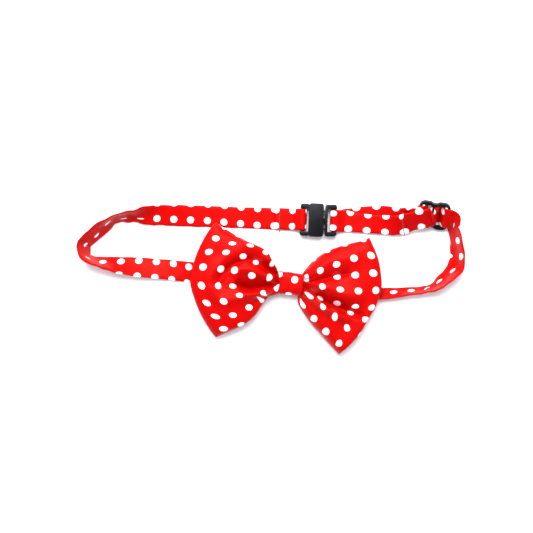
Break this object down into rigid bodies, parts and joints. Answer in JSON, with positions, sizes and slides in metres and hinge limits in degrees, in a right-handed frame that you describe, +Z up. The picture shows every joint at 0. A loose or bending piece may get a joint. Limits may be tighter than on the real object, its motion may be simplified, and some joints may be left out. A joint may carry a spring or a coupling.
{
  "type": "bow tie",
  "caption": "Ready-tied polka-dot satin bow on an adjustable neck strap that closes with a side-release buckle, laid out flat as a loop.",
  "frame": {"origin": "centre of the laid-out object's outline, on the surface it lies on", "axes": "+X along the length of the loop, towards the slider; +Y from the bow towards the buckle; +Z up, away from the surface"},
  "size_m": [0.193, 0.0764, 0.0143],
  "materials": {
    "satin": "red polka-dot satin, soft sheen",
    "thread": "dark red polyester sewing thread",
    "plastic": "black moulded acetal, semi-gloss",
    "interlining": "undyed non-woven interlining"
  },
  "bodies": {
    "strap": {"strap_front": "satin", "strap_left_end": "satin", "strap_back": "satin", "strap_right_end": "satin", "strap_socket_fold": "satin", "socket_stitches": "thread", "buckle_socket": "plastic"},
    "bow": {"bow_front_panel": "satin", "bow_back_panel": "satin", "bow_interlining": "interlining", "gathering_thread": "thread", "knot_band": "satin", "band_stitches": "thread"},
    "plug": {"buckle_plug": "plastic", "strap_plug_fold": "satin", "strap_under_run": "satin", "strap_top_run": "satin", "strap_threaded_run": "satin"},
    "prong_upper": {"prong_upper": "plastic"},
    "prong_lower": {"prong_lower": "plastic"},
    "slider": {"slider": "plastic", "slider_loop": "satin", "slider_stitches": "thread"}
  },
  "joints": [
    {"name": "bow_slide", "type": "slide", "parent": "strap", "child": "bow", "axis": [0.9936, -0.1132, 0], "range_m": [-0.01, 0.01]},
    {"name": "buckle_release", "type": "slide", "parent": "strap", "child": "plug", "axis": [0.9994, -0.0349, 0], "range_m": [0, 0.01], "deforming": ["strap_right_end", "prong_upper", "prong_lower"]},
    {"name": "prong_upper_squeeze", "type": "hinge", "parent": "plug", "child": "prong_upper", "pos_m": [0.0261, 0.03271, 0.0028], "axis": [0, 0, 1], "range_deg": [0, 16], "stiffness_Nm_per_rad": 0.05},
    {"name": "prong_lower_squeeze", "type": "hinge", "parent": "plug", "child": "prong_lower", "pos_m": [0.0258, 0.02411, 0.0028], "axis": [0, 0, -1], "range_deg": [0, 16], "stiffness_Nm_per_rad": 0.05},
    {"name": "slider_adjust", "type": "slide", "parent": "plug", "child": "slider", "axis": [0.9903, -0.1392, 0], "range_m": [-0.012, 0.01], "deforming": ["strap_under_run", "strap_top_run", "strap_threaded_run"]}
  ]
}
